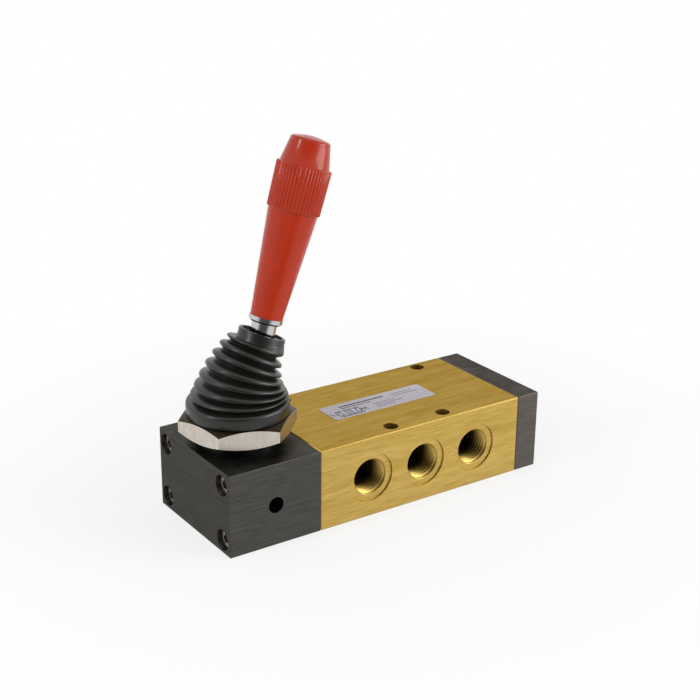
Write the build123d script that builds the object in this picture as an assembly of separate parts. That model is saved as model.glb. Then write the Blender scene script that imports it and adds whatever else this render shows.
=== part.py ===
from build123d import *
import os
from math import cos, pi, radians, sin

# Hand lever air valve, 5/2, with a spring return. Millimetres, +Z up. The origin is the centre of the
# valve body's underside, and X runs along the spool, from the lever block to the end cap.

# Blocks
valve_depth = 49.0
valve_height = 30.0
body_length = 87.5
lever_block_length = 36.0
end_cap_length = 9.8
edge_chamfer = 0.35

# Spool bore and what lines it
bore_radius = 8.0
liner_clearance = 0.02
seal_width = 3.0
seal_lip = 0.6
cage_inner_radius = 5.6
cage_windows = 4
cage_window_width = 4.0
cage_window_length = 4.0

# Ports, G1/4
port_pitch = 23.0
thread_radius = 6.58
port_depth = 13.0
port_chamfer = 0.25
spotface_radius = 9.2
spotface_depth = 0.5
passage_radius = 4.2

# Fixing holes through the body
front_hole_spacing = 23.0
back_hole_spacing = 61.2
front_hole_inset = 4.6
back_hole_inset = 3.8
fixing_hole_radius = 2.7

# Socket screws that hold the lever block and the end cap
screw_radius = 2.0
screw_clearance = 0.25
thread_clearance = 0.05
screw_inset = 5.0
screw_head_radius = 3.5
screw_head_height = 4.0
screw_socket_width = 3.0
screw_socket_depth = 2.0
counterbore_radius = 3.7
block_counterbore = 14.0
cap_counterbore = 4.4
block_screw_grip = 8.0
cap_screw_grip = 8.6
tapped_clearance = 0.6

# Seal rings in the faces of the two ends and round the bush
ring_inner_radius = 9.2
ring_width = 2.0
ring_height = 1.4
bush_ring_width = 1.4
bush_ring_height = 1.2

# Spool, its lever head and its spring
spool_radius = 5.0
spool_clearance = 0.05
seal_clearance = 0.1
neck_radius = 3.2
neck_length = 11.0
head_radius = 7.5
head_wall = 4.1
head_flat = 3.5
slot_floor = 3.5
stop_gap = 0.3
cavity_radius = 8.0
spring_wire_radius = 0.4
spring_radius = 2.85
spring_turns = 7
spring_wire_sides = 6
spring_hole_radius = 3.5
spring_hole_depth = 16.0
seat_radius = 5.5
seat_thickness = 1.2
seat_spigot_radius = 2.0
seat_spigot_length = 5.0
cap_pocket_radius = 6.0
cap_pocket_depth = 6.0
cap_vent_radius = 1.0
block_vent_radius = 2.9

# Bush that the lever pivots in, its nut and its pin
pivot_rise = 4.0
bush_thread_radius = 15.0
bush_spigot_radius = 12.0
bush_spigot_length = 8.0
bush_bore_radius = 8.2
bush_throat_radius = 7.2
bush_throat_length = 4.0
bush_mouth_radius = 11.0
bush_thread_height = 11.5
bush_groove_radius = 13.2
bush_groove_height = 2.0
bush_rim_radius = 14.6
bush_rim_height = 1.7
nut_wall = 3.0
nut_thickness = 6.7
nut_corner_rim = 0.2
nut_gap = 3.7
nut_turn = 42.0
pin_radius = 2.0
pin_length = 26.0
pin_clearance = 0.05
pin_chamfer = 0.3
well_radius = 7.5

# Lever, measured up its own axis from the pivot
lever_tilt = 17.1
finger_ball_radius = 3.0
finger_radius = 2.0
finger_root_radius = 2.8
slot_clearance = 0.15
hub_radius = 7.8
hub_overlap = 1.0
rod_radius = 4.4
stud_radius = 4.0
stud_clearance = 0.05
stud_length = 34.0
collar_bottom = 38.2
collar_thickness = 2.0
collar_radius = 5.95
collar_chamfer = 0.6
grip_length = 36.8
grip_bottom_radius = 5.65
grip_top_radius = 8.55
spigot_radius = 6.0
spigot_length = 7.0
knurl_length = 15.7
knurl_bottom_radius = 9.15
knurl_top_radius = 9.45
knurl_ribs = 48
knurl_depth = 0.35
crown_length = 9.1
crown_bottom_radius = 8.5
crown_top_radius = 6.65
crown_fillet = 1.2

# Rubber boot
boot_gap = 0.1
boot_rod_gap = 0.3
boot_base_height = 4.7
boot_base_radius = 17.8
boot_shoulder = 1.0
boot_neck_radius = 8.25
boot_neck_bottom = 31.6
boot_neck_top = 34.4
boot_recess_radius = 7.1
boot_recess_depth = 1.2
boot_folds = 7
boot_wall = 0.9
boot_fold_depth = 2.3
boot_rim_share = 0.16
boot_hollow_rings = 4
boot_hollow_top = 0.9

# The boot's folds lie on a smooth curve of rings from its base to its neck. Two more rings steer it,
# each given by its shift along X, its rise over the base, its lean in degrees and its radius.
boot_lower_guide = (1.9, 3.7, 0.5, 16.2)
boot_upper_guide = (2.5, 13.6, 47.5, 11.6)
boot_base_step = 0.5
boot_neck_step = 0.5
boot_neck_flare = 0.9

# Label on the top face
label_length = 44.5
label_width = 12.0
label_thickness = 0.15
label_corner = 1.0
label_x = -2.6
label_y = 0.5

# Places that follow from the sizes above
body_left = -body_length / 2
body_right = body_length / 2
block_left = body_left - lever_block_length
cap_right = body_right + end_cap_length
front_face = -valve_depth / 2
back_face = valve_depth / 2
bore_height = valve_height / 2
gallery_pitch = port_pitch / 2
front_ports = [-port_pitch, 0, port_pitch]
back_ports = [-gallery_pitch, gallery_pitch]
seal_places = [(i - 2.5) * gallery_pitch for i in range(6)]
cage_places = [(i - 2) * gallery_pitch for i in range(5)]
cage_length = gallery_pitch - seal_width
liner_end = seal_places[-1] + seal_width / 2
liner_radius = bore_radius - liner_clearance
seal_inner_radius = spool_radius + seal_clearance
screw_places = [(y * (back_face - screw_inset), bore_height + z * (bore_height - screw_inset))
                for y in (-1, 1) for z in (-1, 1)]
block_screw_length = lever_block_length - block_counterbore + block_screw_grip
cap_screw_length = end_cap_length - cap_counterbore + cap_screw_grip
tapped_depth = cap_screw_grip + tapped_clearance

pivot_x = body_left - lever_block_length / 2
pivot_height = valve_height + pivot_rise
finger_length = pivot_height - bore_height
throw = finger_length * sin(radians(lever_tilt))
spool_travel = 2 * throw
slot_x = pivot_x - throw
slot_width = 2 * (finger_ball_radius + slot_clearance)
head_length = slot_width + 2 * head_wall
head_left = slot_x - head_length / 2
cavity_left = head_left - stop_gap
pocket_floor = body_right + cap_pocket_depth
seat_face = pocket_floor - seat_thickness
spool_right = seat_face - stop_gap - spool_travel
spring_left = spool_right - spring_hole_depth
neck_shift = (gallery_pitch - spool_travel) / 2
neck_places = [gallery_pitch / 2 + neck_shift, -1.5 * gallery_pitch + neck_shift]

nut_width = 2 * (bush_thread_radius + nut_wall)
nut_bottom = valve_height + nut_gap
nut_top = nut_bottom + nut_thickness
bush_bottom = valve_height - bush_spigot_length
bush_thread_top = valve_height + bush_thread_height
bush_groove_top = bush_thread_top + bush_groove_height
bush_top = bush_groove_top + bush_rim_height
collar_top = collar_bottom + collar_thickness
grip_top = collar_top + grip_length
knurl_top = grip_top + knurl_length
lever_place = Location((pivot_x, 0, pivot_height), (0, lever_tilt, 0))


def turned(*profile):
    # A solid turned about Z from points of radius and height
    return revolve(Plane.XZ * make_face(Polyline(*profile, close=True)), Axis.Z)


def rod_z(radius, bottom, top, x=0.0, y=0.0):
    return Pos(x, y, (bottom + top) / 2) * Cylinder(radius, top - bottom)


def rod_x(radius, left, right, y=0.0, z=bore_height):
    return Pos((left + right) / 2, y, z) * Rot(0, 90, 0) * Cylinder(radius, right - left)


def along_bore(solid, x):
    # Lays a turned solid along the spool bore, with its foot at x
    return Pos(x, 0, bore_height) * Rot(0, 90, 0) * solid


def block(left, length):
    solid = Pos(left + length / 2, 0, valve_height / 2) * Box(length, valve_depth, valve_height)
    return chamfer(solid.edges(), edge_chamfer)


def ring(inner, outer, height):
    # A seal ring squeezed flat in its groove
    return turned((inner, 0), (outer, 0), (outer, height), (inner, height))


def port():
    # One threaded port, cut inwards from its face along Z, down to the spool bore
    mouth = thread_radius + port_chamfer
    reach = valve_depth / 2 - bore_radius / 2
    return turned((0, 0), (spotface_radius, 0), (spotface_radius, spotface_depth), (mouth, spotface_depth),
                  (thread_radius, spotface_depth + port_chamfer), (thread_radius, port_depth),
                  (passage_radius, port_depth + thread_radius - passage_radius), (passage_radius, reach),
                  (0, reach))


def face_groove():
    return rod_z(ring_inner_radius + ring_width, 0, ring_height) - rod_z(ring_inner_radius, 0, ring_height)


def valve_body():
    solid = block(body_left, body_length) - rod_x(bore_radius, body_left, body_right)
    for x in front_ports:
        solid -= Pos(x, front_face, bore_height) * Rot(-90, 0, 0) * port()
    for x in back_ports:
        solid -= Pos(x, back_face, bore_height) * Rot(90, 0, 0) * port()
    for side in (-1, 1):
        front_x, front_y = side * front_hole_spacing / 2, front_face + front_hole_inset
        back_x, back_y = side * back_hole_spacing / 2, back_face - back_hole_inset
        solid -= rod_z(fixing_hole_radius, 0, valve_height, front_x, front_y)
        solid -= rod_z(fixing_hole_radius, 0, valve_height, back_x, back_y)
    for y, z in screw_places:
        solid -= rod_x(screw_radius + thread_clearance, body_left, body_left + tapped_depth, y, z)
        solid -= rod_x(screw_radius + thread_clearance, body_right - tapped_depth, body_right, y, z)
    return solid


def lever_block():
    solid = block(block_left, lever_block_length)
    solid -= rod_x(cavity_radius, cavity_left, body_left)
    solid -= rod_z(well_radius, bore_height, bush_bottom, pivot_x)
    solid -= rod_z(bush_spigot_radius + thread_clearance, bush_bottom, valve_height, pivot_x)
    groove_radius = bush_spigot_radius + thread_clearance + bush_ring_width
    solid -= rod_z(groove_radius, valve_height - bush_ring_height, valve_height, pivot_x)
    solid -= along_bore(face_groove(), body_left - ring_height)
    for y, z in screw_places:
        solid -= rod_x(counterbore_radius, block_left, block_left + block_counterbore, y, z)
        solid -= rod_x(screw_radius + screw_clearance, block_left, body_left, y, z)
    vent = Cylinder(block_vent_radius, -front_face, align=(Align.CENTER, Align.CENTER, Align.MIN))
    return solid - Pos(pivot_x, front_face, bore_height) * Rot(-90, 0, 0) * vent


def end_cap():
    solid = block(body_right, end_cap_length)
    solid -= rod_x(cap_pocket_radius, body_right, pocket_floor)
    solid -= rod_x(cap_vent_radius, pocket_floor, cap_right)
    solid -= along_bore(face_groove(), body_right)
    for y, z in screw_places:
        solid -= rod_x(counterbore_radius, cap_right - cap_counterbore, cap_right, y, z)
        solid -= rod_x(screw_radius + screw_clearance, body_right, cap_right, y, z)
    return solid


def socket_screw(length):
    # A cap screw that points down from z = 0, the seat of its head
    head = rod_z(screw_head_radius, 0, screw_head_height)
    socket = Pos(0, 0, screw_head_height - screw_socket_depth) * extrude(
        RegularPolygon(screw_socket_width / 2, 6, major_radius=False), screw_socket_depth)
    return head + rod_z(screw_radius, -length, 0) - socket


def block_screws():
    seat = block_left + block_counterbore
    return [Pos(seat, y, z) * Rot(0, -90, 0) * socket_screw(block_screw_length) for y, z in screw_places]


def cap_screws():
    seat = cap_right - cap_counterbore
    return [Pos(seat, y, z) * Rot(0, 90, 0) * socket_screw(cap_screw_length) for y, z in screw_places]


def end_ring(x):
    return along_bore(ring(ring_inner_radius, ring_inner_radius + ring_width, ring_height), x)


def bush_seal_ring():
    inner = bush_spigot_radius + thread_clearance
    return Pos(pivot_x, 0, valve_height - bush_ring_height) * ring(
        inner, inner + bush_ring_width, bush_ring_height)


def spool_seals():
    # Each seal narrows to a lip that runs on the spool
    lip, inner, width = seal_lip, seal_inner_radius, seal_width
    seal = turned((liner_radius, 0), (liner_radius, width), (inner + lip, width), (inner, width / 2),
                  (inner + lip, 0))
    return [along_bore(seal, x - width / 2) for x in seal_places]


def seal_cages():
    cage = turned((cage_inner_radius, 0), (liner_radius, 0), (liner_radius, cage_length),
                  (cage_inner_radius, cage_length))
    window = Pos(0, 0, cage_length / 2) * Box(
        bore_radius, cage_window_width, cage_window_length, align=(Align.MIN, Align.CENTER, Align.CENTER))
    for turn in range(cage_windows):
        cage -= Rot(0, 0, turn * 360 / cage_windows) * window
    return [along_bore(cage, x - cage_length / 2) for x in cage_places]


def spool_guides():
    inner = spool_radius + spool_clearance
    length = body_right - liner_end
    guide = turned((inner, 0), (liner_radius, 0), (liner_radius, length), (inner, length))
    return [along_bore(guide, body_left), along_bore(guide, liner_end)]


def spool():
    solid = rod_x(head_radius, head_left, head_left + head_length)
    solid += rod_x(spool_radius, head_left + head_length, spool_right)
    for x in neck_places:
        left, right = x - neck_length / 2, x + neck_length / 2
        solid -= rod_x(bore_radius, left, right) - rod_x(neck_radius, left, right)
    solid -= rod_x(spring_hole_radius, spring_left, spool_right)
    flat = Box(head_length, 2 * head_radius, head_radius, align=(Align.CENTER, Align.CENTER, Align.MIN))
    slot = Box(slot_width, 2 * head_radius, head_radius, align=(Align.CENTER, Align.CENTER, Align.MIN))
    solid -= Pos(slot_x, 0, bore_height + head_flat) * flat
    return solid - Pos(slot_x, 0, bore_height - slot_floor) * slot


def return_spring():
    length = seat_face - spring_left - 2 * spring_wire_radius
    path = Helix(length / spring_turns, length, spring_radius)
    section = Plane(origin=path @ 0, z_dir=path % 0) * RegularPolygon(spring_wire_radius, spring_wire_sides)
    wire = sweep(section, path, is_frenet=True)
    return along_bore(wire, spring_left + spring_wire_radius)


def spring_seat():
    solid = rod_x(seat_radius, seat_face, pocket_floor)
    solid += rod_x(seat_spigot_radius, seat_face - seat_spigot_length, seat_face)
    return solid - rod_x(cap_vent_radius, seat_face - seat_spigot_length, pocket_floor)


def bush_outline(gap=0.0):
    # The outside of the bush above the lever block, grown by a gap
    return turned((0, valve_height), (bush_thread_radius + gap, valve_height),
                  (bush_thread_radius + gap, bush_thread_top + gap),
                  (bush_groove_radius + gap, bush_thread_top + gap),
                  (bush_groove_radius + gap, bush_groove_top - gap),
                  (bush_rim_radius + gap, bush_groove_top - gap),
                  (bush_rim_radius + gap, bush_top + gap), (0, bush_top + gap))


def mounting_bush():
    solid = bush_outline() + rod_z(bush_spigot_radius, bush_bottom, valve_height)
    throat_top = bush_bottom + bush_throat_length
    solid -= turned((0, bush_bottom), (bush_throat_radius, bush_bottom), (bush_throat_radius, throat_top),
                    (bush_bore_radius, throat_top), (bush_bore_radius, pivot_height),
                    (bush_mouth_radius, bush_top), (0, bush_top))
    pin_hole = Cylinder(pin_radius + liner_clearance, 2 * bush_thread_radius)
    solid -= Pos(0, 0, pivot_height) * Rot(90, 0, 0) * pin_hole
    return Pos(pivot_x, 0, 0) * solid


def pivot_pin():
    pin = Cylinder(pin_radius, pin_length)
    pin = chamfer(pin.edges().filter_by(GeomType.CIRCLE), pin_chamfer)
    return Pos(pivot_x, 0, pivot_height) * Rot(90, 0, 0) * pin


def panel_nut():
    # A thin hexagon whose corners are turned off at both ends
    corner = nut_width / 2 / cos(radians(30))
    hexagon = extrude(RegularPolygon(nut_width / 2, 6, major_radius=False), nut_thickness)
    rim = nut_width / 2 - nut_corner_rim
    drop = (corner - rim) / 2
    turned_off = turned((0, 0), (rim, 0), (corner, drop), (corner, nut_thickness - drop),
                        (rim, nut_thickness), (0, nut_thickness))
    solid = (hexagon & turned_off) - rod_z(bush_thread_radius + thread_clearance, 0, nut_thickness)
    return Pos(pivot_x, 0, nut_bottom) * Rot(0, 0, nut_turn) * solid


def lever_rod():
    shank_bottom = hub_radius - hub_overlap
    finger = turned((0, -finger_length), (finger_radius, -finger_length), (finger_root_radius, -shank_bottom),
                    (0, -shank_bottom))
    solid = Sphere(hub_radius) + finger + Pos(0, 0, -finger_length) * Sphere(finger_ball_radius)
    solid += rod_z(rod_radius, shank_bottom, collar_bottom)
    solid += rod_z(stud_radius, collar_bottom, collar_bottom + stud_length)
    solid -= Rot(90, 0, 0) * Cylinder(pin_radius + pin_clearance, 2 * hub_radius)
    return lever_place * solid


def rod_collar():
    inner = stud_radius + stud_clearance
    collar = turned((inner, collar_bottom), (collar_radius - collar_chamfer, collar_bottom),
                    (collar_radius, collar_bottom + collar_chamfer), (collar_radius, collar_top),
                    (inner, collar_top))
    return lever_place * collar


def handle_grip():
    inner = stud_radius + stud_clearance
    hole_top = collar_bottom + stud_length + stud_clearance
    cone = turned((inner, collar_top), (grip_bottom_radius, collar_top), (grip_top_radius, grip_top),
                  (spigot_radius, grip_top), (spigot_radius, grip_top + spigot_length),
                  (0, grip_top + spigot_length), (0, hole_top), (inner, hole_top))
    return lever_place * cone


def knurl_section(radius, height):
    # The ribbed outline of the knob at one height
    points = []
    for step in range(2 * knurl_ribs):
        reach = radius - knurl_depth * (step % 2)
        angle = pi * step / knurl_ribs
        points.append((reach * cos(angle), reach * sin(angle)))
    return Pos(0, 0, height) * make_face(Polyline(*points, close=True))


def handle_knob():
    ribs = loft([knurl_section(knurl_bottom_radius, grip_top), knurl_section(knurl_top_radius, knurl_top)],
                ruled=True)
    crown_top = knurl_top + crown_length
    crown = turned((0, knurl_top), (crown_bottom_radius, knurl_top), (crown_top_radius, crown_top),
                   (0, crown_top))
    crown = fillet(crown.edges().group_by(Axis.Z)[-1], crown_fillet)
    socket = rod_z(spigot_radius + stud_clearance, grip_top, grip_top + spigot_length + stud_clearance)
    return lever_place * (ribs + crown - socket)


def bezier(a, b, c, d, t):
    return a * (1 - t) ** 3 + 3 * b * t * (1 - t) ** 2 + 3 * c * t ** 2 * (1 - t) + d * t ** 3


def boot_ring(t, shrink=0.0):
    # The rim of a fold, from the base of the boot at t = 0 to its neck at t = 1. The folds stand far
    # apart on the side that the lever leans away from, and close up on the other.
    shift, rise, lean, radius = zip(boot_lower_guide, boot_upper_guide)
    along = boot_neck_top - boot_neck_step
    tilt = radians(lever_tilt)
    base = nut_top + boot_gap + boot_base_height
    x = pivot_x + bezier(0, *shift, along * sin(tilt), t)
    z = bezier(base, base + rise[0], base + rise[1], pivot_height + along * cos(tilt), t)
    turn = bezier(0, *lean, lever_tilt, t)
    reach = bezier(boot_base_radius - boot_base_step, *radius, boot_neck_radius + boot_neck_flare, t)
    return Location((x, 0, z), (0, turn, 0)) * Circle(reach - shrink)


def boot_folds_solid():
    # The folded outside as one loft: each fold runs out to a narrow rim, midway between two valleys
    step = 1 / (boot_folds + 1)
    sections = [lever_place * Pos(0, 0, height) * Circle(boot_neck_radius)
                for height in (boot_neck_top, boot_neck_bottom)]
    for fold in range(boot_folds, 0, -1):
        sections.append(boot_ring((fold + boot_rim_share / 2) * step))
        sections.append(boot_ring((fold - boot_rim_share / 2) * step))
        sections.append(boot_ring((fold - 0.5) * step, boot_fold_depth))
    return loft(sections + [boot_ring(0)], ruled=True)


def boot_hollow():
    # The inside, which keeps the wall's thickness behind the valleys between the folds
    inset = boot_fold_depth + boot_wall
    sections = [boot_ring(boot_hollow_top * i / boot_hollow_rings, inset)
                for i in range(boot_hollow_rings, -1, -1)]
    return loft(sections, ruled=True)


def boot():
    base_bottom = nut_top + boot_gap
    base = rod_z(boot_base_radius, base_bottom, base_bottom + boot_base_height, pivot_x)
    base = fillet(base.edges().group_by(Axis.Z)[-1], boot_shoulder)
    solid = boot_folds_solid() + base - boot_hollow()
    solid -= Pos(pivot_x, 0, 0) * bush_outline(boot_gap)
    solid -= lever_place * rod_z(boot_recess_radius, boot_neck_top - boot_recess_depth, boot_neck_top)
    return solid - lever_place * rod_z(rod_radius + boot_rod_gap, boot_neck_bottom / 2, boot_neck_top)


def label():
    plate = extrude(RectangleRounded(label_length, label_width, label_corner), label_thickness)
    return Pos(label_x, label_y, valve_height) * plate


nodes = {
    "valve_body": valve_body(),
    "lever_block": lever_block(),
    "end_cap": end_cap(),
    "block_screws": block_screws(),
    "cap_screws": cap_screws(),
    "block_seal_ring": end_ring(body_left - ring_height),
    "cap_seal_ring": end_ring(body_right),
    "bush_seal_ring": bush_seal_ring(),
    "spool_seals": spool_seals(),
    "seal_cages": seal_cages(),
    "spool_guides": spool_guides(),
    "spool": spool(),
    "return_spring": return_spring(),
    "spring_seat": spring_seat(),
    "mounting_bush": mounting_bush(),
    "panel_nut": panel_nut(),
    "pivot_pin": pivot_pin(),
    "boot": boot(),
    "lever_rod": lever_rod(),
    "rod_collar": rod_collar(),
    "handle_grip": handle_grip(),
    "handle_knob": handle_knob(),
    "label": label(),
}

os.makedirs("parts", exist_ok=True)
for name, shape in nodes.items():
    if isinstance(shape, list):
        shape = Compound(shape)
    export_step(shape, f"parts/{name}.step")
print("spool travel", round(spool_travel, 3), "mm")
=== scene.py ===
from math import atan2, cos, pi, radians, sin

import bmesh
import bpy
from mathutils import Matrix, Vector


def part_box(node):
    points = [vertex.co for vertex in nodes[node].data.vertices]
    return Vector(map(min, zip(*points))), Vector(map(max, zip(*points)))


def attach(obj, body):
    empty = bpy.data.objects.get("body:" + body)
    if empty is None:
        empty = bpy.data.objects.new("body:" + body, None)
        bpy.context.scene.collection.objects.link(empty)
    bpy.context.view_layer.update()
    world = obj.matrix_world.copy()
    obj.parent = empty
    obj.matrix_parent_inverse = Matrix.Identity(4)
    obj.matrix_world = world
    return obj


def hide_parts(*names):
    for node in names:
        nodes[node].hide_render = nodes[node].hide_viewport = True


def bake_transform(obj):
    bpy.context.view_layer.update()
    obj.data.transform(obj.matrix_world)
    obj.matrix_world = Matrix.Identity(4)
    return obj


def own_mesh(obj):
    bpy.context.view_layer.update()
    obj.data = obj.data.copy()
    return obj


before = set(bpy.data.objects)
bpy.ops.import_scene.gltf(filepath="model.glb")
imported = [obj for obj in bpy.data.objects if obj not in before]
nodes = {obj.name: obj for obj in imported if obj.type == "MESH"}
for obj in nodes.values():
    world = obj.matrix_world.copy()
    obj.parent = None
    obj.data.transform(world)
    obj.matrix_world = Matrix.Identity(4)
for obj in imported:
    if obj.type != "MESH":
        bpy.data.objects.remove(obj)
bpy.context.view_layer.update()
mm = 0.001
print("frame loaded:", len(nodes), "nodes")


# Small helpers

def linear(hexColour):
    # sRGB hex to a linear colour with alpha
    channels = [int(hexColour[start:start + 2], 16) / 255 for start in (1, 3, 5)]
    return tuple([c / 12.92 if c <= 0.04045 else ((c + 0.055) / 1.055) ** 2.4 for c in channels] + [1])


def addNode(tree, kind, settings, links):
    # One node: settings are its properties and unlinked sockets, links are sockets fed by other sockets
    node = tree.nodes.new(kind)
    for name, value in settings.items():
        if isinstance(name, str) and hasattr(node, name):
            setattr(node, name, value)
        else:
            node.inputs[name].default_value = value
    for name, socket in links.items():
        tree.links.new(socket, node.inputs[name])
    return node


def newMaterial(name):
    # An empty node tree with its output
    material = bpy.data.materials.new(name)
    material.use_nodes = True
    tree = material.node_tree
    tree.nodes.clear()
    return material, tree, tree.nodes.new("ShaderNodeOutputMaterial")


def dress(material, *names):
    # CAD nodes keep their meshes and get a finished material
    for name in names:
        nodes[name].data.materials.clear()
        nodes[name].data.materials.append(material)


def newPiece(name, shape, material, body, replaced=(), smoothAngle=30):
    # Turns a bmesh into a piece that rides on a body, and may stand for CAD nodes
    mesh = bpy.data.meshes.new(name)
    shape.to_mesh(mesh)
    shape.free()
    mesh.materials.append(material)
    mesh.shade_smooth()
    mesh.set_sharp_from_angle(angle=radians(smoothAngle))
    piece = bpy.data.objects.new(name, mesh)
    bpy.context.collection.objects.link(piece)
    if replaced:
        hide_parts(*replaced)
    if body:
        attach(piece, body)
    return piece


def circles(shape, rings, segments):
    # Circles of (matrix, radius), each joined to the one before by a band of faces
    loops = []
    for matrix, radius in rings:
        made = bmesh.ops.create_circle(shape, segments=segments, radius=radius, matrix=matrix)
        loops.append(list({edge for vert in made["verts"] for edge in vert.link_edges}))
    for first, second in zip(loops, loops[1:]):
        bmesh.ops.bridge_loops(shape, edges=first + second)
    return loops


# Camera
view = {"place": (-0.277858, -0.381293, 0.227965), "turn": (69.312, -0.4924, -34.3417), "lens": 71.44}
cameraData = bpy.data.cameras.new("camera")
cameraData.lens = view["lens"]
cameraData.sensor_width = 36
cameraData.clip_start = 0.01
camera = bpy.data.objects.new("camera", cameraData)
camera.location = view["place"]
camera.rotation_euler = [radians(angle) for angle in view["turn"]]
bpy.context.collection.objects.link(camera)
bpy.context.scene.camera = camera


# Places shared by several pieces, in millimetres
blockLow, blockHigh = [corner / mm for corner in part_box("lever_block")]
bodyLow, bodyHigh = [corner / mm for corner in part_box("valve_body")]
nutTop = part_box("panel_nut")[1].z / mm
pivotX = (blockLow.x + blockHigh.x) / 2
topFace = blockHigh.z
frontFace = blockLow.y
pivotHeight = topFace + 4.0
leverTilt = 17.1
leverPlace = Matrix.Translation((pivotX, 0, pivotHeight)) @ Matrix.Rotation(radians(leverTilt), 4, "Y")


# Metals

def brushedMetal(name, values):
    # Fine lines along one axis, broad uneven bands under them, and a colour that shifts between both
    material, tree, output = newMaterial(name)
    where = addNode(tree, "ShaderNodeTexCoord", {}, {}).outputs["Object"]
    lineScale = [1 / (size * mm) for size in values["lineSize"]]
    lines = addNode(tree, "ShaderNodeMapping", {"Scale": lineScale}, {"Vector": where})
    fine = addNode(tree, "ShaderNodeTexNoise", {"Scale": 1.0, "Detail": 4.0, "Roughness": 0.65},
                   {"Vector": lines.outputs["Vector"]})
    bandScale = [1 / (size * mm) for size in values["bandSize"]]
    bands = addNode(tree, "ShaderNodeMapping", {"Scale": bandScale}, {"Vector": where})
    broad = addNode(tree, "ShaderNodeTexNoise", {"Scale": 1.0, "Detail": 2.0, "Roughness": 0.5},
                    {"Vector": bands.outputs["Vector"]})
    both = addNode(tree, "ShaderNodeMix", {"data_type": "FLOAT", "Factor": values["broadShare"]},
                   {2: fine.outputs["Fac"], 3: broad.outputs["Fac"]})
    stretch = addNode(tree, "ShaderNodeMapRange", {"From Min": 0.34, "From Max": 0.66},
                      {"Value": both.outputs[0]})
    tint = addNode(tree, "ShaderNodeMix", {"data_type": "RGBA", 6: linear(values["dark"]),
                                           7: linear(values["colour"])}, {0: stretch.outputs["Result"]})
    if "holeShade" in values:
        # Painted shade: hole walls darken with their depth below the nearest outer face, as little light
        # gets down there
        low, high = values["block"]
        centre = (low + high) / 2 * mm
        middle = addNode(tree, "ShaderNodeVectorMath", {"operation": "SUBTRACT", 1: centre}, {0: where})
        apart = addNode(tree, "ShaderNodeVectorMath", {"operation": "ABSOLUTE"}, {0: middle.outputs[0]})
        below = addNode(tree, "ShaderNodeVectorMath", {"operation": "SUBTRACT", 0: (high - low) / 2 * mm},
                        {1: apart.outputs[0]})
        parts = addNode(tree, "ShaderNodeSeparateXYZ", {}, {0: below.outputs[0]})
        least = addNode(tree, "ShaderNodeMath", {"operation": "MINIMUM"},
                        {0: parts.outputs["Y"], 1: parts.outputs["Z"]})
        depth = addNode(tree, "ShaderNodeMapRange", {"interpolation_type": "SMOOTHSTEP",
                                                     "From Min": values["shadeFrom"] * mm,
                                                     "From Max": values["shadeTo"] * mm},
                        {"Value": least.outputs[0]})
        tint = addNode(tree, "ShaderNodeMix", {"data_type": "RGBA", 7: linear(values["holeShade"])},
                       {0: depth.outputs["Result"], 6: tint.outputs[2]})
    if "paintedDarkTop" in values:
        # Painted reflection: faces across Z, the turned top face and its chamfers, are darkened to stand
        # for the dark surroundings they would mirror
        facing = addNode(tree, "ShaderNodeNewGeometry", {}, {})
        parts = addNode(tree, "ShaderNodeSeparateXYZ", {}, {0: facing.outputs["Normal"]})
        upward = addNode(tree, "ShaderNodeMapRange", {"interpolation_type": "SMOOTHSTEP", "From Min": 0.3,
                                                      "From Max": 0.6}, {"Value": parts.outputs["Z"]})
        tint = addNode(tree, "ShaderNodeMix", {"data_type": "RGBA", 7: linear(values["paintedDarkTop"])},
                       {0: upward.outputs["Result"], 6: tint.outputs[2]})
    rough = addNode(tree, "ShaderNodeMapRange", {"To Min": values["roughness"] - values["roughSpread"],
                                                 "To Max": values["roughness"] + values["roughSpread"]},
                    {"Value": stretch.outputs["Result"]})
    relief = addNode(tree, "ShaderNodeBump", {"Strength": values["relief"], "Distance": 0.05 * mm},
                     {"Height": fine.outputs["Fac"]})
    shader = addNode(tree, "ShaderNodeBsdfPrincipled",
                     {"Metallic": 1.0, "Specular Tint": linear(values["edge"])},
                     {"Base Color": tint.outputs[2], "Roughness": rough.outputs["Result"],
                      "Normal": relief.outputs["Normal"]})
    tree.links.new(shader.outputs["BSDF"], output.inputs["Surface"])
    return material


# Gold anodised aluminium bar, extruded along X: fine die lines run its whole length, drawn twice
# as coarse as real ones so that they show. Its hole walls get painted shade
goldAnodised = brushedMetal("goldAnodisedAluminium", {
    "colour": "#D2B469", "dark": "#AF8F40", "edge": "#887E90", "roughness": 0.42, "roughSpread": 0.06,
    "lineSize": (9, 0.5, 0.5), "bandSize": (40, 2.6, 2.6), "broadShare": 0.3, "relief": 0.25,
    "block": (bodyLow, bodyHigh), "holeShade": "#241808", "shadeFrom": 0.6, "shadeTo": 9})
# Black anodised aluminium, milled on its faces: level mill lines round the block and a soft grey sheen,
# drawn about four times as coarse as real ones so that they show
blackAnodised = brushedMetal("blackAnodisedAluminium", {
    "colour": "#575652", "dark": "#42413D", "edge": "#C4C2BE", "roughness": 0.42, "roughSpread": 0.05,
    "lineSize": (8, 8, 0.4), "bandSize": (30, 30, 1.2), "broadShare": 0.2, "relief": 0.25})
# The end cap gets a paler copy of the same black
paleBlackAnodised = brushedMetal("paleBlackAnodisedAluminium", {
    "colour": "#6B6662", "dark": "#54504C", "edge": "#A8A6A2", "roughness": 0.42, "roughSpread": 0.05,
    "lineSize": (8, 8, 0.4), "bandSize": (30, 30, 1.2), "broadShare": 0.2, "relief": 0.25})
# Bright zinc plating on milled flats: warm grey, satin, with an upright grain twice as coarse as a real
# one so that it shows. The turned top face carries a painted dark reflection
platedSteel = brushedMetal("zincPlatedSteel", {
    "colour": "#DAD2C8", "dark": "#BAB2A8", "edge": "#F0ECE8", "roughness": 0.30, "roughSpread": 0.05,
    "lineSize": (0.4, 0.4, 2.0), "bandSize": (1.5, 1.5, 6), "broadShare": 0.3, "relief": 0.25,
    "paintedDarkTop": "#332D20"})
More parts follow.
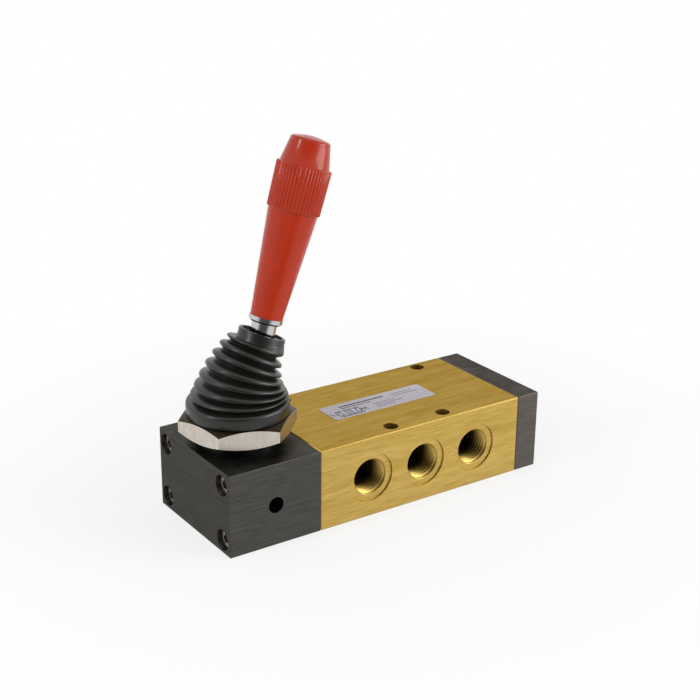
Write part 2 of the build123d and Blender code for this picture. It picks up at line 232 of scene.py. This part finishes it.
# Chromed steel, ground before plating: almost a mirror, with faint rings from the grinding
chromedSteel = brushedMetal("chromedSteel", {
    "colour": "#CECFD2", "dark": "#B8B9BD", "edge": "#F4F4F6", "roughness": 0.12, "roughSpread": 0.03,
    "lineSize": (2, 2, 0.2), "bandSize": (6, 6, 6), "broadShare": 0.3, "relief": 0.03})
# Bare steel of the pin and the spring: dull grey, with faint tool lines
turnedSteel = brushedMetal("turnedSteel", {
    "colour": "#8E8A86", "dark": "#6E6A66", "edge": "#D0CCC8", "roughness": 0.35, "roughSpread": 0.05,
    "lineSize": (8, 8, 0.3), "bandSize": (20, 20, 1.5), "broadShare": 0.3, "relief": 0.2})
# Ground aluminium of the spool, clear anodised: pale and even, with rings round it
groundAluminium = brushedMetal("groundAluminium", {
    "colour": "#DCDCDE", "dark": "#C8C8CB", "edge": "#F0F0F2", "roughness": 0.2, "roughSpread": 0.04,
    "lineSize": (0.3, 8, 8), "bandSize": (3, 12, 12), "broadShare": 0.3, "relief": 0.1})
# Blackened steel of the screws and the bush, oiled after cutting: nearly black, with a patchy gloss. On
# the bush, in the shade under the nut, its near-black is also painted shade
blackenedSteelAndBushShade = brushedMetal("blackenedSteelAndBushShade", {
    "colour": "#3A3A3C", "dark": "#262628", "edge": "#8A8A8C", "roughness": 0.38, "roughSpread": 0.05,
    "lineSize": (1, 1, 1), "bandSize": (4, 4, 4), "broadShare": 0.5, "relief": 0.1})


def moulded(name, values):
    # Moulded plastic or rubber: an even colour with a faint mottle, and the mould's texture in relief
    material, tree, output = newMaterial(name)
    where = addNode(tree, "ShaderNodeTexCoord", {}, {}).outputs["Object"]
    mottle = addNode(tree, "ShaderNodeTexNoise", {"Scale": 1 / (values["mottleSize"] * mm), "Detail": 3.0},
                     {"Vector": where})
    grain = addNode(tree, "ShaderNodeTexNoise", {"Scale": 1 / (values["grainSize"] * mm), "Detail": 2.0},
                    {"Vector": where})
    tint = addNode(tree, "ShaderNodeMix", {"data_type": "RGBA", 6: linear(values["dark"]),
                                           7: linear(values["colour"])}, {0: mottle.outputs["Fac"]})
    rough = addNode(tree, "ShaderNodeMapRange", {"To Min": values["roughness"] - values["roughSpread"],
                                                 "To Max": values["roughness"] + values["roughSpread"]},
                    {"Value": mottle.outputs["Fac"]})
    relief = addNode(tree, "ShaderNodeBump", {"Strength": values["relief"], "Distance": 0.05 * mm},
                     {"Height": grain.outputs["Fac"]})
    shader = addNode(tree, "ShaderNodeBsdfPrincipled",
                     {"Coat Weight": values["coat"], "Coat Roughness": values["coatRoughness"],
                      "IOR": values["ior"]},
                     {"Base Color": tint.outputs[2], "Roughness": rough.outputs["Result"],
                      "Normal": relief.outputs["Normal"]})
    tree.links.new(shader.outputs["BSDF"], output.inputs["Surface"])
    return material


# Red thermoplastic, injection moulded in a polished tool: glossy with a faint swirl
redPlastic = moulded("redMouldedPlastic", {
    "colour": "#AE3013", "dark": "#A22A0F", "roughness": 0.2, "roughSpread": 0.03, "mottleSize": 6,
    "grainSize": 0.8, "relief": 0.05, "coat": 0.0, "coatRoughness": 0.1, "ior": 1.36})
# Black nitrile rubber from a spark-eroded mould: dull, with a soft sheen on its rims
nitrileRubber = moulded("blackNitrileRubber", {
    "colour": "#191A15", "dark": "#11120E", "roughness": 0.33, "roughSpread": 0.05, "mottleSize": 5,
    "grainSize": 0.35, "relief": 0.3, "coat": 0.0, "coatRoughness": 0.3, "ior": 1.5})
# Natural acetal of the cages, guides and spring seat, turned and moulded: waxy white
acetalPlastic = moulded("acetalPlastic", {
    "colour": "#E2DCD0", "dark": "#D8D1C4", "roughness": 0.38, "roughSpread": 0.04, "mottleSize": 4,
    "grainSize": 0.4, "relief": 0.15, "coat": 0.0, "coatRoughness": 0.3, "ior": 1.48})
# Screen-printed ink, laid on film: a flat dark grey that is a little thin in places
printedInk = moulded("screenPrintedInk", {
    "colour": "#4C4C54", "dark": "#3C3C44", "roughness": 0.45, "roughSpread": 0.05, "mottleSize": 1.5,
    "grainSize": 0.3, "relief": 0.05, "coat": 0.0, "coatRoughness": 0.2, "ior": 1.4})
# Silvered polyester film, rolled smooth: pale grey, with a soft shine
labelFilm = moulded("silveredPolyesterFilm", {
    "colour": "#BFBCC2", "dark": "#B3B0B6", "roughness": 0.45, "roughSpread": 0.05, "mottleSize": 8,
    "grainSize": 0.4, "relief": 0.05, "coat": 0.0, "coatRoughness": 0.2, "ior": 1.3})

dress(goldAnodised, "valve_body")
dress(blackAnodised, "lever_block")
dress(paleBlackAnodised, "end_cap")
# On the bush this near-black steel also stands as painted shade under the nut
dress(blackenedSteelAndBushShade, "block_screws", "cap_screws", "mounting_bush")
dress(nitrileRubber, "block_seal_ring", "cap_seal_ring", "bush_seal_ring", "spool_seals", "boot")
dress(acetalPlastic, "seal_cages", "spool_guides", "spring_seat")
dress(turnedSteel, "return_spring", "pivot_pin")
dress(groundAluminium, "spool")
dress(platedSteel, "panel_nut")
dress(chromedSteel, "lever_rod", "rod_collar")
dress(redPlastic, "handle_grip", "handle_knob")
dress(labelFilm, "label")
print("materials set")


# Rubber boot: seven folds on a bent cone, each running out to a narrow rounded rim. Its heights up to the
# base are over the nut, and those of its neck are along the lever
bootShape = {
    "baseRadius": 17.8, "baseHeight": 4.7, "shoulder": 1.0, "neckRadius": 8.25, "neckBottom": 31.6,
    "neckTop": 34.4, "lipRise": 0.1, "lipTilt": 5.0, "neckFlare": 0.9, "baseStep": 0.5, "neckStep": 0.5,
    "recessRadius": 7.1, "recessDepth": 1.2, "seatGap": 0.1, "folds": 7, "foldDepth": 2.3, "wall": 0.9,
    "rodHole": 4.7, "hollowRings": 8, "hollowTop": 0.9, "segments": 128, "bendFrom": 47, "bendTo": 66,
    # Height and radius inside the foot, with the bead that snaps into the bush's groove
    "foot": ((0, 15.1), (1.1, 15.1), (1.1, 13.3), (2.9, 13.3), (2.9, 14.7), (4.8, 14.7)),
    # Guides of the bent axis: shift along X, rise over the base, lean in degrees and radius
    "lowerGuide": (1.9, 3.7, 0.5, 16.2), "upperGuide": (2.5, 13.6, 47.5, 11.6),
    # Height over the rim as a share of the step between folds, and share of the fold's depth
    "foldLine": ((-0.5, 1.0), (-0.45, 0.94), (-0.39, 0.79), (-0.32, 0.54), (-0.25, 0.31), (-0.19, 0.16),
                 (-0.13, 0.06), (-0.07, 0.02), (0.0, 0.0), (0.07, 0.02), (0.13, 0.06), (0.19, 0.16),
                 (0.25, 0.31), (0.32, 0.54), (0.39, 0.79), (0.45, 0.94))}
bootSeat = nutTop + bootShape["seatGap"]


def curveValue(start, lower, upper, end, t):
    # A smooth curve from start to end that two guide values pull on the way
    return (start * (1 - t) ** 3 + 3 * lower * t * (1 - t) ** 2 + 3 * upper * t ** 2 * (1 - t)
            + end * t ** 3)


def bootRing(t, shrink):
    # A ring of the boot, from its base at t = 0 to its neck at t = 1
    values = bootShape
    shift, rise, lean, radius = zip(values["lowerGuide"], values["upperGuide"])
    along = values["neckTop"] - values["neckStep"]
    tilt = radians(leverTilt)
    base = bootSeat + values["baseHeight"]
    x = pivotX + curveValue(0, *shift, along * sin(tilt), t)
    z = curveValue(base, base + rise[0], base + rise[1], pivotHeight + along * cos(tilt), t)
    turn = curveValue(0, *lean, leverTilt, t)
    reach = curveValue(values["baseRadius"] - values["baseStep"], *radius,
                       values["neckRadius"] + values["neckFlare"], t)
    matrix = Matrix.Translation((x, 0, z)) @ Matrix.Rotation(radians(turn), 4, "Y")
    return matrix, reach - shrink


def makeBoot():
    values = bootShape
    step = 1 / (values["folds"] + 1)
    neck = values["neckRadius"]

    def neckRing(height, radius):
        return leverPlace @ Matrix.Translation((0, 0, height)), radius

    def baseRing(height, radius):
        return Matrix.Translation((pivotX, 0, bootSeat + height)), radius

    def lipRing(height, radius):
        # The lip stands a little higher on the side that the lever leans away from
        tilt = Matrix.Rotation(radians(values["lipTilt"]), 4, "Y")
        return leverPlace @ Matrix.Translation((0, 0, height + values["lipRise"])) @ tilt, radius

    top, bottom = values["neckTop"], values["neckBottom"]
    recess = top - values["recessDepth"]
    rings = [neckRing(recess - 1.5, values["rodHole"]), neckRing(recess, values["rodHole"]),
             neckRing(recess, values["recessRadius"]), lipRing(top - 0.2, values["recessRadius"]),
             lipRing(top, values["recessRadius"] + 0.2), lipRing(top, neck - 0.35),
             lipRing(top - 0.1, neck - 0.1), lipRing(top - 0.35, neck), neckRing(bottom + 0.3, neck),
             neckRing(bottom, neck + 0.15)]
    for fold in range(values["folds"], 0, -1):
        for share, depth in reversed(values["foldLine"]):
            if fold < values["folds"] or share < 0.12:
                rings.append(bootRing((fold + share) * step, depth * values["foldDepth"]))
    base, height, shoulder = values["baseRadius"], values["baseHeight"], values["shoulder"]
    for turn in range(0, 91, 15):
        rings.append(baseRing(height - shoulder * (1 - cos(radians(turn))),
                              base - shoulder * (1 - sin(radians(turn)))))
    rings += [baseRing(0.4, base), baseRing(0.1, base - 0.15), baseRing(0, base - 0.4)]
    rings += [baseRing(*place) for place in values["foot"]]
    # The hollow inside follows the folds' valleys at the wall's thickness
    inset = values["foldDepth"] + values["wall"]
    for ring in range(1, values["hollowRings"] + 1):
        rings.append(bootRing(values["hollowTop"] * ring / values["hollowRings"], inset))
    shape = bmesh.new()
    loops = circles(shape, rings, values["segments"])
    bmesh.ops.bridge_loops(shape, edges=loops[-1] + loops[0])
    bmesh.ops.scale(shape, vec=(mm, mm, mm), verts=shape.verts)
    bmesh.ops.recalc_face_normals(shape, faces=shape.faces)
    return shape


rubberBoot = newPiece("rubberBoot", makeBoot(), nitrileRubber, None, ["boot"], 40)
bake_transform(rubberBoot)
print("boot made")


# Knob: a ring of 48 rounded ribs with chamfered ends, and a smooth tapering crown above it
knobShape = {"bottom": 77.0, "top": 92.7, "bottomRadius": 9.15, "topRadius": 9.45, "ribs": 48,
             "ribDepth": 0.31, "endChamfer": 0.4, "crownTop": 101.8, "crownFoot": 8.5, "crownRadius": 6.65,
             "crownRound": 1.3, "crownDome": 0.8, "footRound": 0.5, "socketRadius": 6.05,
             "socketDepth": 7.05, "pointsPerRib": 8}


def makeKnob(values):
    low, high, chamfer = values["bottom"], values["top"], values["endChamfer"]
    wide, wideTop, socket = values["bottomRadius"], values["topRadius"], values["socketRadius"]
    depth, crown, bend = values["ribDepth"], values["crownTop"], values["crownRound"]
    foot = values["footRound"] * 0.4
    # Height, radius and share of the rib's depth
    line = [(low + values["socketDepth"], socket, 0), (low, socket, 0),
            (low, wide - depth - 0.2, 0), (low + 0.15, wide - depth, 0),
            (low + chamfer, wide, 1), (high - chamfer, wideTop, 1),
            (high - 0.1, wideTop - depth, 0), (high, wideTop - depth - 0.15, 0),
            (high, values["crownFoot"] + foot, 0), (high + foot, values["crownFoot"], 0)]
    taper = (values["crownFoot"] - values["crownRadius"]) / (crown - high)
    for turn in range(0, 91, 15):
        drop = bend * (1 - sin(radians(turn)))
        inward = bend * (1 - cos(radians(turn)))
        line.append((crown - drop, values["crownRadius"] + taper * bend - inward, 0))
    rim = line[-1][1]
    for share in (0.8, 0.6, 0.4, 0.2, 0.05):
        line.append((crown + values["crownDome"] * (1 - share ** 2), rim * share, 0))
    shape = bmesh.new()
    rings = [(Matrix.Translation((0, 0, height)), radius) for height, radius, share in line]
    loops = circles(shape, rings, values["ribs"] * values["pointsPerRib"])
    for loop, (height, radius, share) in zip(loops, line):
        for vert in {vert for edge in loop for vert in edge.verts}:
            valley = 0.5 - 0.5 * cos(values["ribs"] * atan2(vert.co.y, vert.co.x))
            scale = 1 - share * depth * valley / radius
            vert.co.x *= scale
            vert.co.y *= scale
    bmesh.ops.contextual_create(shape, geom=loops[0])
    bmesh.ops.contextual_create(shape, geom=loops[-1])
    bmesh.ops.transform(shape, matrix=Matrix.Scale(mm, 4) @ leverPlace, verts=shape.verts)
    bmesh.ops.recalc_face_normals(shape, faces=shape.faces)
    return shape


newPiece("ribbedKnob", makeKnob(knobShape), redPlastic, "lever", ["handle_knob"], 50)
print("knob made")


# Threads of the ports, G1/4: a ridge that winds into each hole and grows out of its countersink
portThread = {"pitch": 1.337, "rootRadius": 6.57, "crestRadius": 5.85, "start": -0.35, "turns": 9.3,
              "stepsPerTurn": 64, "firstDepth": 1.0, "countersink": 7.5, "frontPorts": (-23, 0, 23),
              "backPorts": (-11.5, 11.5)}


def threadRidge(shape, values):
    # One winding ridge about Z, with its foot on the root radius
    root, crest, pitch = values["rootRadius"], values["crestRadius"], values["pitch"]
    # Radius and share of the pitch
    profile = [(root, 0.02), (crest, 0.42), (crest, 0.54), (root, 0.94)]
    corners = [shape.verts.new((radius, 0, values["start"] + share * pitch)) for radius, share in profile]
    section = shape.faces.new(corners)
    steps = round(values["turns"] * values["stepsPerTurn"])
    bmesh.ops.spin(shape, geom=[section, *section.edges, *corners], cent=(0, 0, 0), axis=(0, 0, 1),
                   dvec=(0, 0, pitch / values["stepsPerTurn"]), steps=steps,
                   angle=2 * pi * values["turns"], use_merge=False, use_duplicate=False)
    # The ridge is cut off inside the countersink, whose cone also cuts its first crests down
    bmesh.ops.bisect_plane(shape, geom=[*shape.verts, *shape.edges, *shape.faces], dist=0.0005,
                           plane_co=(0, 0, values["firstDepth"]), plane_no=(0, 0, 1), clear_inner=True)
    bmesh.ops.holes_fill(shape, edges=[edge for edge in shape.edges if edge.is_boundary])
    for vert in shape.verts:
        reach = Vector((vert.co.x, vert.co.y, 0)).length
        cone = min(root, values["countersink"] - vert.co.z)
        if reach < cone:
            vert.co.x *= cone / reach
            vert.co.y *= cone / reach
    bmesh.ops.triangulate(shape, faces=[face for face in shape.faces if len(face.verts) > 4])
    bmesh.ops.recalc_face_normals(shape, faces=shape.faces)
    return shape


def makePortThreads():
    values = portThread
    shape = bmesh.new()
    ports = [(x, -1) for x in values["frontPorts"]] + [(x, 1) for x in values["backPorts"]]
    for x, side in ports:
        one = threadRidge(bmesh.new(), values)
        place = (Matrix.Translation((x, side * -frontFace, topFace / 2))
                 @ Matrix.Rotation(side * pi / 2, 4, "X"))
        bmesh.ops.transform(one, matrix=Matrix.Scale(mm, 4) @ place, verts=one.verts)
        mesh = bpy.data.meshes.new("portThread")
        one.to_mesh(mesh)
        one.free()
        shape.from_mesh(mesh)
        bpy.data.meshes.remove(mesh)
    return shape


newPiece("portThreads", makePortThreads(), goldAnodised, "valve")
print("threads made")


# Return spring: seven turns of wire, drawn at one length, though the real one shortens as the lever pushes
# the spool towards the cap
returnSpring = {"wireRadius": 0.4, "wireSides": 10, "turns": 7, "stepsPerTurn": 32, "travel": 11.2}


def makeSpring(values):
    low, high = [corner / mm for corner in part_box("return_spring")]
    wire, turns = values["wireRadius"], values["turns"]
    middleHeight = (low.z + high.z) / 2
    coilRadius = (high.y - low.y) / 2 - wire
    start = (Matrix.Translation((low.x + wire, 0, middleHeight + coilRadius))
             @ Matrix.Rotation(pi / 2, 4, "X"))
    shape = bmesh.new()
    bmesh.ops.create_circle(shape, cap_ends=True, segments=values["wireSides"], radius=wire, matrix=start)
    steps = turns * values["stepsPerTurn"]
    bmesh.ops.spin(shape, geom=[*shape.faces, *shape.edges, *shape.verts], cent=(0, 0, middleHeight),
                   axis=(1, 0, 0), dvec=((high.x - low.x - 2 * wire) / steps, 0, 0), steps=steps,
                   angle=2 * pi * turns, use_merge=False, use_duplicate=False)
    bmesh.ops.scale(shape, vec=(mm, mm, mm), verts=shape.verts)
    bmesh.ops.recalc_face_normals(shape, faces=shape.faces)
    return shape


coilSpring = newPiece("coilSpring", makeSpring(returnSpring), turnedSteel, "valve",
                      ["return_spring"])
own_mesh(coilSpring)
print("spring made")


# Screws of the lever block: plated socket heads that sit a little below the end face
endScrew = {"headRadius": 3.45, "headDepth": 1.5, "headFoot": 10.2, "headChamfer": 0.4,
            "socketRadius": 1.75, "socketDepth": 2.0, "spreadY": 19.5, "spreadZ": 10, "segments": 48}


def makeEndScrews(values):
    shape = bmesh.new()
    head, depth, chamfer = values["headRadius"], values["headDepth"], values["headChamfer"]
    for y in (-values["spreadY"], values["spreadY"]):
        for z in (-values["spreadZ"], values["spreadZ"]):
            place = (Matrix.Translation((blockLow.x, y, topFace / 2 + z))
                     @ Matrix.Rotation(pi / 2, 4, "Y"))
            line = [(values["headFoot"], head), (depth + chamfer, head), (depth, head - chamfer)]
            loops = circles(shape, [(place @ Matrix.Translation((0, 0, down)), radius)
                                    for down, radius in line], values["segments"])
            socket = circles(shape, [(place @ Matrix.Translation((0, 0, down)), values["socketRadius"])
                                     for down in (depth, depth + values["socketDepth"])], 6)
            bmesh.ops.bridge_loops(shape, edges=loops[-1] + socket[0])
            bmesh.ops.contextual_create(shape, geom=socket[1])
            bmesh.ops.contextual_create(shape, geom=loops[0])
    bmesh.ops.scale(shape, vec=(mm, mm, mm), verts=shape.verts)
    bmesh.ops.recalc_face_normals(shape, faces=shape.faces)
    return shape


newPiece("endScrewHeads", makeEndScrews(endScrew), platedSteel, "valve")
print("screws made")


# Print on the label: the general sign of a five-port, two-position lever valve, and plain ruled lines.
# The sign's own points are measured from its lower left corner
labelPrint = {"thickness": 0.02, "line": 0.36, "symbol": (-21.5, -4.4), "box": 4.8, "arrow": 0.55,
              "stop": 1.0, "lever": 1.8, "leverLean": 0.8, "springBars": 4, "springStep": 0.7,
              "springSwing": 0.9,
              # Start x and y, length and thickness of each ruled line
              "rules": ((-17.5, 3.7, 19.0, 0.9), (-17.5, 2.1, 12.5, 0.5), (-5.0, -0.2, 9.0, 0.3),
                        (-5.0, -1.8, 12.0, 0.3), (-5.0, -3.4, 7.5, 0.3), (5.5, 3.7, 9.0, 0.3),
                        (5.5, 2.1, 11.0, 0.3))}


def makeLabelPrint(values):
    shape = bmesh.new()
    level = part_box("label")[1].z / mm + values["thickness"] / 2
    box, width = values["box"], values["line"]
    left, bottom = values["symbol"]

    def stroke(x, y, toX, toY, thickness=width):
        # A flat bar from one point of the symbol to another
        line = Vector((toX - x, toY - y, 0))
        turn = line.to_track_quat("X", "Z").to_matrix().to_4x4()
        size = Matrix.Diagonal((line.length + thickness, thickness, values["thickness"], 1))
        middle = Matrix.Translation((left + (x + toX) / 2, bottom + (y + toY) / 2, level))
        bmesh.ops.create_cube(shape, size=1, matrix=middle @ turn @ size)

    def arrow(x, y, toX, toY):
        stroke(x, y, toX, toY)
        line = Vector((toX - x, toY - y, 0)).normalized()
        tip = Matrix.Translation((left + toX - line.x * values["arrow"],
                                  bottom + toY - line.y * values["arrow"], level))
        turn = line.to_track_quat("X", "Z").to_matrix().to_4x4()
        head = values["arrow"] * 1.15
        bmesh.ops.create_cone(shape, cap_ends=True, segments=3, radius1=head, radius2=head,
                              depth=values["thickness"], matrix=tip @ turn)

    def blockedPort(x):
        # A short line from the bottom edge that ends in a crossbar
        crossbar = values["stop"] / 2
        stroke(x, 0, x, box * 0.25)
        stroke(x - crossbar, box * 0.25, x + crossbar, box * 0.25)

    for side in (0, box, 2 * box):
        stroke(side, 0, side, box)
    for height in (0, box):
        stroke(0, height, 2 * box, height)
    near, far, half = box * 0.22, box * 0.78, box / 2
    arrow(half, 0, near, box)                     # first position
    arrow(far, box, far, 0)
    blockedPort(near)
    arrow(box + half, 0, box + far, box)          # second position
    arrow(box + near, box, box + near, 0)
    blockedPort(box + far)
    reach, lean = values["lever"], values["leverLean"]
    stroke(-reach, half, 0, half)                 # lever
    stroke(-reach, half, -reach - lean, box * 0.9)
    step = values["springStep"]
    for turn in range(values["springBars"]):      # spring
        swing = values["springSwing"] * (1 if turn % 2 else -1)
        stroke(2 * box + turn * step, half + swing, 2 * box + (turn + 1) * step, half - swing)
    for x, y, length, thickness in values["rules"]:
        stroke(x - left, y - bottom, x - left + length, y - bottom, thickness)
    bmesh.ops.scale(shape, vec=(mm, mm, mm), verts=shape.verts)
    bmesh.ops.recalc_face_normals(shape, faces=shape.faces)
    return shape


newPiece("labelPrint", makeLabelPrint(labelPrint), printedInk, "valve")
print("print made")


# Floor and light
studio = {"floorRadius": 0.21, "sky": 0.6, "floorColour": "#F4F4F4", "nearShare": 0.75, "nearRadius": 0.1,
          "farRadius": 0.2, "roomSide": (-0.58, -0.8, 0.17), "roomEdge": 0.54, "roomMiddle": 0.92,
          "roomLight": 0.11}

floorShape = bmesh.new()
bmesh.ops.create_circle(floorShape, cap_ends=True, segments=96, radius=studio["floorRadius"])
floorMesh = bpy.data.meshes.new("floor")
floorShape.to_mesh(floorMesh)
floorShape.free()
floor = bpy.data.objects.new("floor", floorMesh)
bpy.context.collection.objects.link(floor)


def seenDirectly(tree):
    # 1 for what the camera sees, and metal mirrors, and 0 for light that the place sheds on the object
    ray = addNode(tree, "ShaderNodeLightPath", {}, {}).outputs
    seen = addNode(tree, "ShaderNodeMath", {"operation": "MAXIMUM"},
                   {0: ray["Is Camera Ray"], 1: ray["Is Glossy Ray"]})
    seen = addNode(tree, "ShaderNodeMath", {"operation": "MAXIMUM"},
                   {0: seen.outputs[0], 1: ray["Is Transmission Ray"]})
    return seen.outputs[0], ray["Is Camera Ray"]


# White paper, matt: it takes the object's shadow near it and fades into the white room further out
floorPaper, tree, output = newMaterial("whitePaper")
seen, cameraRay = seenDirectly(tree)
where = addNode(tree, "ShaderNodeTexCoord", {}, {}).outputs["Object"]
away = addNode(tree, "ShaderNodeVectorMath", {"operation": "LENGTH"}, {0: where})
fade = addNode(tree, "ShaderNodeMapRange",
               {"From Min": studio["nearRadius"], "From Max": studio["farRadius"],
                "To Min": studio["nearShare"], "To Max": 1.0}, {"Value": away.outputs["Value"]})
share = addNode(tree, "ShaderNodeMath", {"operation": "MULTIPLY"}, {0: seen, 1: fade.outputs["Result"]})
paper = addNode(tree, "ShaderNodeBsdfDiffuse", {"Color": linear(studio["floorColour"])}, {})
glow = addNode(tree, "ShaderNodeEmission", {"Color": (1, 1, 1, 1), "Strength": 1.0}, {})
mix = addNode(tree, "ShaderNodeMixShader", {}, {0: share.outputs[0], 1: paper.outputs[0],
                                                2: glow.outputs[0]})
tree.links.new(mix.outputs[0], output.inputs["Surface"])
floorMesh.materials.append(floorPaper)

# The room is white all round, and darker behind the camera, where no backdrop hangs
world = bpy.data.worlds.new("studio")
bpy.context.scene.world = world
world.use_nodes = True
tree = world.node_tree
tree.nodes.clear()
output = tree.nodes.new("ShaderNodeOutputWorld")
seen, cameraRay = seenDirectly(tree)
strength = addNode(tree, "ShaderNodeMapRange", {"To Min": studio["sky"], "To Max": 1.0}, {"Value": seen})
direction = addNode(tree, "ShaderNodeTexCoord", {}, {}).outputs["Generated"]
towards = addNode(tree, "ShaderNodeVectorMath", {"operation": "DOT_PRODUCT", 1: studio["roomSide"]},
                  {0: direction})
room = addNode(tree, "ShaderNodeMapRange",
               {"interpolation_type": "SMOOTHSTEP", "From Min": studio["roomEdge"],
                "From Max": studio["roomMiddle"], "To Min": 1.0, "To Max": studio["roomLight"]},
               {"Value": towards.outputs["Value"]})
shade = addNode(tree, "ShaderNodeMix", {"data_type": "FLOAT", 3: 1.0},
                {0: cameraRay, 2: room.outputs["Result"]})
level = addNode(tree, "ShaderNodeMath", {"operation": "MULTIPLY"},
                {0: strength.outputs[0], 1: shade.outputs[0]})
sky = addNode(tree, "ShaderNodeBackground", {"Color": (1, 1, 1, 1)}, {"Strength": level.outputs[0]})
tree.links.new(sky.outputs[0], output.inputs["Surface"])


def softbox(name, values, glossy=True):
    # A rectangular lamp at a place, aimed at a point, in metres and watts
    lampData = bpy.data.lights.new(name, "AREA")
    lampData.shape = "RECTANGLE"
    lampData.size, lampData.size_y = values["size"]
    lampData.energy = values["power"]
    lamp = bpy.data.objects.new(name, lampData)
    lamp.location = values["place"]
    towards = Vector(values["aim"]) - Vector(values["place"])
    lamp.rotation_euler = towards.to_track_quat("-Z", "Y").to_euler()
    lamp.visible_glossy = glossy
    bpy.context.collection.objects.link(lamp)


softbox("leftLamp", {"place": (-0.75, 0.05, 0.57), "aim": (-0.05, 0, 0.1), "size": (0.05, 0.27),
                     "power": 1.3})
softbox("fillLamp", {"place": (-0.8, -0.6, 0.3), "aim": (-0.05, 0, 0.05), "size": (0.9, 0.8),
                     "power": 5.6}, glossy=False)
softbox("rightLamp", {"place": (0.6, -0.56, 0.3), "aim": (-0.03, 0, 0.05), "size": (0.62, 0.5),
                      "power": 5.0})

bpy.context.scene.view_settings.view_transform = "Standard"
print("studio set")
